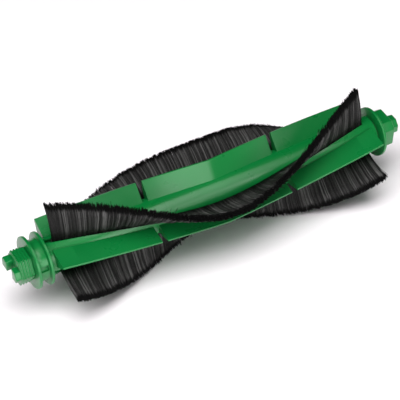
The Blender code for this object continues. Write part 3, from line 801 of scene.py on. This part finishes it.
class ROLLER_OT_key(bpy.types.Operator):
    """Model the ribbed hexagonal barrel with its two prongs and its shank."""
    bl_idname = "roller.key"
    bl_label = "Drive key"

    def hexagon(self, x, radius, angle, rounding):
        corners = [(radius * math.cos(side * math.pi / 3 + angle),
                    radius * math.sin(side * math.pi / 3 + angle)) for side in range(6)]
        return [Vector((MIDDLE + x, -a, b)) for a, b in rounded_polygon(corners, rounding)]

    def execute(self, context):
        ends = context.scene.roller_ends
        face = GUARD_LOW.x - MIDDLE - 0.1 * MM
        end = face - ends.key_length
        tip = KEY_LOW.x - MIDDLE
        angle, radius, edge = ends.key_angle, ends.key, ends.edge
        rings = [self.hexagon(face, radius - edge, angle, MM),
                 self.hexagon(face - 0.15 * MM, radius, angle, MM)]
        for rib in range(4):
            middle = face - ends.rib_start - rib * ends.rib_pitch
            half, high = ends.rib_width / 2, radius + ends.rib
            for x, size in ((middle + half + 0.12 * MM, radius), (middle + half, radius + ends.rib * 0.3),
                            (middle + half * 0.7, high - 0.12 * MM), (middle + half * 0.35, high),
                            (middle - half * 0.35, high), (middle - half * 0.7, high - 0.12 * MM),
                            (middle - half, radius + ends.rib * 0.3), (middle - half - 0.12 * MM, radius)):
                rings.append(self.hexagon(x, size, angle, MM))
        rings += [self.hexagon(end + 0.12 * MM, radius - 0.05 * MM, angle, MM),
                  self.hexagon(end + 0.03 * MM, radius - 0.2 * MM, angle, MM),
                  self.hexagon(end, radius - 0.4 * MM, angle, MM)]
        key = swept("drive_coupling", rings)
        for piece in self.prongs(ends, tip, end):
            combine(key, piece, "UNION")
        shank_end = KEY_HIGH.x - MIDDLE
        shaft_low, shaft_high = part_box("steel_shaft")
        bore_start = shaft_low.x - MIDDLE - 0.1 * MM
        combine(key, spun("shank", [(shank_end, 0.5 * MM), (shank_end, ends.shank - 0.2 * MM),
                                    (shank_end - 0.2 * MM, ends.shank), (face - 2 * MM, ends.shank),
                                    (face - 2 * MM, 0.5 * MM)], 64), "UNION")
        bore = spun("bore", [(shank_end + MM, 0.05 * MM), (shank_end + MM, shaft_high.z + 0.05 * MM),
                             (bore_start, shaft_high.z + 0.05 * MM), (bore_start, 0.05 * MM)], 64)
        combine(key, bore)
        soften(key, 32.0)
        colours = context.scene.roller_colours
        paint(key, moulded_look("key_green", colours.green, colours.green_pale, 0.3))
        belongs(key, "roller", "end_green", "drive_key")
        return {"FINISHED"}

    def prongs(self, ends, tip, end):
        """The wide prong and the narrow one, each the hexagon cut to its outline and rounded."""
        into = end + 0.8 * MM
        boxes = (
            ("wide_prong", (tip + ends.prong_cut, -ends.wide_far, -ends.wide_half),
             (into, -ends.prong_gap, ends.wide_half)),
            ("narrow_prong", (tip, ends.narrow_near, -ends.narrow_low),
             (into, ends.narrow_far, ends.narrow_high)),
        )
        for name, low, high in boxes:
            prong = bar(name, low, high)
            outline = swept("outline", [self.hexagon(x, ends.key - 0.4 * MM, ends.key_angle, 0.8 * MM)
                                        for x in (tip - MM, into + MM)])
            combine(prong, outline, "INTERSECT")
            yield round_edges(prong, 0.3 * MM, 3)


class ROLLER_OT_block(bpy.types.Operator):
    """Model the flange, the chamfered square block, the spigot and the bearing pocket."""
    bl_idname = "roller.block"
    bl_label = "Bearing block"

    def execute(self, context):
        ends = context.scene.roller_ends
        left, right = BLOCK_LOW.x - MIDDLE, BLOCK_HIGH.x - MIDDLE
        face = left + ends.flange_width
        boss_end = face + ends.block_length
        radius, edge = ends.flange, ends.edge
        outline = [(face, 0.2 * MM)]
        for step in range(5):
            corner = math.pi / 2 * step / 4
            outline.append((face - edge * (1 - math.cos(corner)), radius - edge * (1 - math.sin(corner))))
        for step in range(5):
            corner = math.pi / 2 * (1 - step / 4)
            outline.append((left + edge * (1 - math.cos(corner)), radius - edge * (1 - math.sin(corner))))
        outline.append((left, 0.2 * MM))
        block = spun("end_block", outline, 144)
        half, chamfer = ends.block, ends.chamfer
        cut = half - chamfer
        corners = [(half, -cut), (half, cut), (cut, half), (-cut, half),
                   (-half, cut), (-half, -cut), (-cut, -half), (cut, -half)]
        boss = self.column("boss", corners, left + 0.3 * MM, boss_end, ends.block_angle, 0.7 * MM, 0.6 * MM)
        combine(block, boss, "UNION")
        sides = 8
        corners = [(ends.spigot * math.cos((side + 0.5) * 2 * math.pi / sides),
                    ends.spigot * math.sin((side + 0.5) * 2 * math.pi / sides)) for side in range(sides)]
        spigot = self.column("spigot", corners, face, right, ends.block_angle, 0.9 * MM, 0.5 * MM)
        combine(block, spigot, "UNION")
        self.hollow(block, left)
        soften(block, 32.0)
        colours = context.scene.roller_colours
        paint(block, moulded_look("block_green", colours.green, colours.green_pale, 0.3))
        belongs(block, "bearing_block", "end_green", "bearing_block")
        return {"FINISHED"}

    def column(self, name, corners, low, high, angle, corner_round, end_round):
        """A bar with a rounded outline and a rounded end."""
        rings = []
        for x, inset in ((low, 0.0), (high - end_round, 0.0), (high - end_round * 0.62, 0.08),
                         (high - end_round * 0.3, 0.29), (high - end_round * 0.08, 0.62), (high, 1.0)):
            outline = rounded_polygon(corners, corner_round)
            ring = []
            for a, b in outline:
                reach = math.hypot(a, b)
                scale = 1.0 - inset * end_round / reach
                around = math.atan2(b, a) + angle
                ring.append(ring_point(x, reach * scale, around))
            rings.append(ring)
        return swept(name, rings)

    def hollow(self, block, left):
        """The pocket for the bearing, its clip and the shaft's end."""
        outer_low, outer_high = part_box("bearing_outer_race")
        clip_low, clip_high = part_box("retaining_ring")
        shaft_low, shaft_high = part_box("steel_shaft")
        slack, room = 0.03 * MM, 0.3 * MM
        wide = outer_high.z + slack
        step, clip_end = outer_high.x - MIDDLE + slack, clip_high.x - MIDDLE + room
        end = shaft_high.x - MIDDLE + room
        start = left - MM
        combine(block, spun("pocket", [
            (end, 0.05 * MM), (end, shaft_high.z + room), (clip_end, shaft_high.z + room),
            (clip_end, clip_high.z + room), (step, clip_high.z + room), (step, wide), (start, wide),
            (start, 0.05 * MM)], 96))


class ROLLER_OT_inside(bpy.types.Operator):
    """Give the pieces inside the roller their finishes."""
    bl_idname = "roller.inside"
    bl_label = "Inside pieces"

    def execute(self, context):
        colours = context.scene.roller_colours
        around, along = (0.02, 1.0, 1.0), (1.0, 0.04, 0.04)
        strip = rubber_look("strip_black", colours.strip, 0.55)
        bush = rubber_look("bush_black", colours.strip, 0.42)
        shaft = steel_look("shaft_steel", colours.steel, 0.26, along)
        bearing = steel_look("bearing_steel", colours.steel, 0.18, around)
        looks = {
            "core_plug": bush, "steel_shaft": shaft, "cross_pin": shaft, "spacer_washer": shaft,
            "retaining_ring": shaft, "ball_cage": steel_look("cage_brass", colours.brass, 0.34, around),
            "dust_seal": felt_look("seal_felt", colours.felt),
        }
        for name, node in NODES.items():
            if name.startswith("strip_backing"):
                looks[name] = strip
            elif name.startswith("bearing_") and name != "bearing_block":
                looks[name] = bearing
        for name, look in looks.items():
            paint(NODES[name], look)
        return {"FINISHED"}


class ROLLER_OT_stage(bpy.types.Operator):
    """Set the floor, the lights and the camera."""
    bl_idname = "roller.stage"
    bl_label = "Stage"

    # Each light's name, offset from the middle, size, power and the rays that do not see it.
    LIGHTS = (
        ("high_key", (-0.52, -0.24, 1.4), (2.2, 0.9), 32.0, "visible_glossy"),
        ("top_box", (-0.02, -0.4, 1.5), (1.64, 1.4), 8.4, "visible_glossy"),
        ("sheen_box", (0.24, -0.21, 0.75), (0.2, 0.58), 1.5, "visible_diffuse"),
        ("edge_box", (0.42, -0.66, 0.6), (0.26, 0.26), 1.0, "visible_diffuse"),
        ("front_box", (-0.13, -0.75, 0.25), (0.95, 0.45), 4.8, "visible_diffuse"),
        ("low_fill", (-0.1, -1.6, 0.09), (1.8, 0.4), 26.0, "visible_glossy"),
    )
    FLOOR_SIZE = 2.6
    AZIMUTH, ELEVATION = math.radians(-29.513), math.radians(42.654)
    DISTANCE, AIM_LEFT = 0.64208, 0.00583
    SENSOR, LENS, NEAR = 36.0, 141.59, 0.01
    SHIFT = (-0.00025, -0.00705)

    def execute(self, context):
        scene = context.scene
        low, high = CAD_BOX
        centre = Vector((MIDDLE, 0.0, 0.0))
        let_go()
        bpy.ops.mesh.primitive_plane_add(size=self.FLOOR_SIZE, location=(centre.x, 0.0, low[2] - 0.05 * MM))
        floor = named("floor")
        bpy.ops.object.mode_set(mode="EDIT")
        bpy.ops.mesh.subdivide(number_cuts=2)
        hold(floor)
        paint(floor, floor_look("floor_board", scene.roller_colours.floor))
        for name, offset, size, power, unseen in self.LIGHTS:
            setattr(self.light(name, centre, offset, size, power), unseen, False)
        world = bpy.data.worlds.new("studio")
        scene.world = world
        world.use_nodes = True
        sky = world.node_tree.nodes["Background"]
        sky.inputs["Color"].default_value = (1.0, 1.0, 1.0, 1.0)
        sky.inputs["Strength"].default_value = 1.0
        world.cycles_visibility.diffuse = False
        world.cycles_visibility.glossy = False
        scene.view_settings.view_transform = "Standard"
        self.camera(scene, centre)
        return {"FINISHED"}

    def light(self, name, centre, offset, size, power):
        bpy.ops.object.light_add(type="AREA", location=centre + Vector(offset))
        lamp = bpy.context.view_layer.objects.active
        lamp.name = lamp.data.name = name
        lamp.data.shape, lamp.data.energy = "RECTANGLE", power
        lamp.data.size, lamp.data.size_y = size
        back = Vector(offset).normalized()
        right = (Vector((1.0, 0.0, 0.0)) - back * back.x).normalized()
        lamp.rotation_euler = Matrix((right, back.cross(right), back)).transposed().to_euler()
        return lamp

    def camera(self, scene, centre):
        flat = math.cos(self.ELEVATION)
        back = Vector((flat * math.sin(self.AZIMUTH), -flat * math.cos(self.AZIMUTH),
                       math.sin(self.ELEVATION)))
        right = Vector((0.0, 0.0, 1.0)).cross(back).normalized()
        up = back.cross(right)
        target = centre - Vector((self.AIM_LEFT, 0.0, 0.0))
        bpy.ops.object.camera_add()
        camera = bpy.context.view_layer.objects.active
        camera.name = camera.data.name = "product_camera"
        turned = Matrix((right, up, back)).transposed().to_4x4()
        camera.matrix_world = Matrix.Translation(target + back * self.DISTANCE) @ turned
        camera.data.sensor_width = self.SENSOR
        camera.data.lens = self.LENS
        camera.data.shift_x, camera.data.shift_y = self.SHIFT
        camera.data.clip_start = self.NEAR
        scene.camera = camera


class ROLLER_PT_panel(bpy.types.Panel):
    """Sizes, colours and steps of the roller brush."""
    bl_idname = "ROLLER_PT_panel"
    bl_label = "Roller Brush"
    bl_space_type = "VIEW_3D"
    bl_region_type = "UI"
    bl_category = "Roller Brush"

    def draw(self, context):
        for name, group in GROUPS.items():
            box = self.layout.box()
            for field in group.__annotations__:
                box.prop(getattr(context.scene, name), field)
        for step in STEPS:
            self.layout.operator(step.bl_idname)


STEPS = (ROLLER_OT_core, ROLLER_OT_fins, ROLLER_OT_bristles, ROLLER_OT_guard, ROLLER_OT_key,
         ROLLER_OT_block, ROLLER_OT_inside, ROLLER_OT_stage)
CLASSES = (*GROUPS.values(), *STEPS, ROLLER_PT_panel)


def register():
    for cls in CLASSES:
        bpy.utils.register_class(cls)
    for name, group in GROUPS.items():
        setattr(bpy.types.Scene, name, PointerProperty(type=group))


def unregister():
    for name in GROUPS:
        delattr(bpy.types.Scene, name)
    for cls in reversed(CLASSES):
        bpy.utils.unregister_class(cls)


def main():
    register()
    for step in STEPS:
        group, name = step.bl_idname.split(".")
        getattr(getattr(bpy.ops, group), name)()
    let_go()


if __name__ == "__main__":
    main()
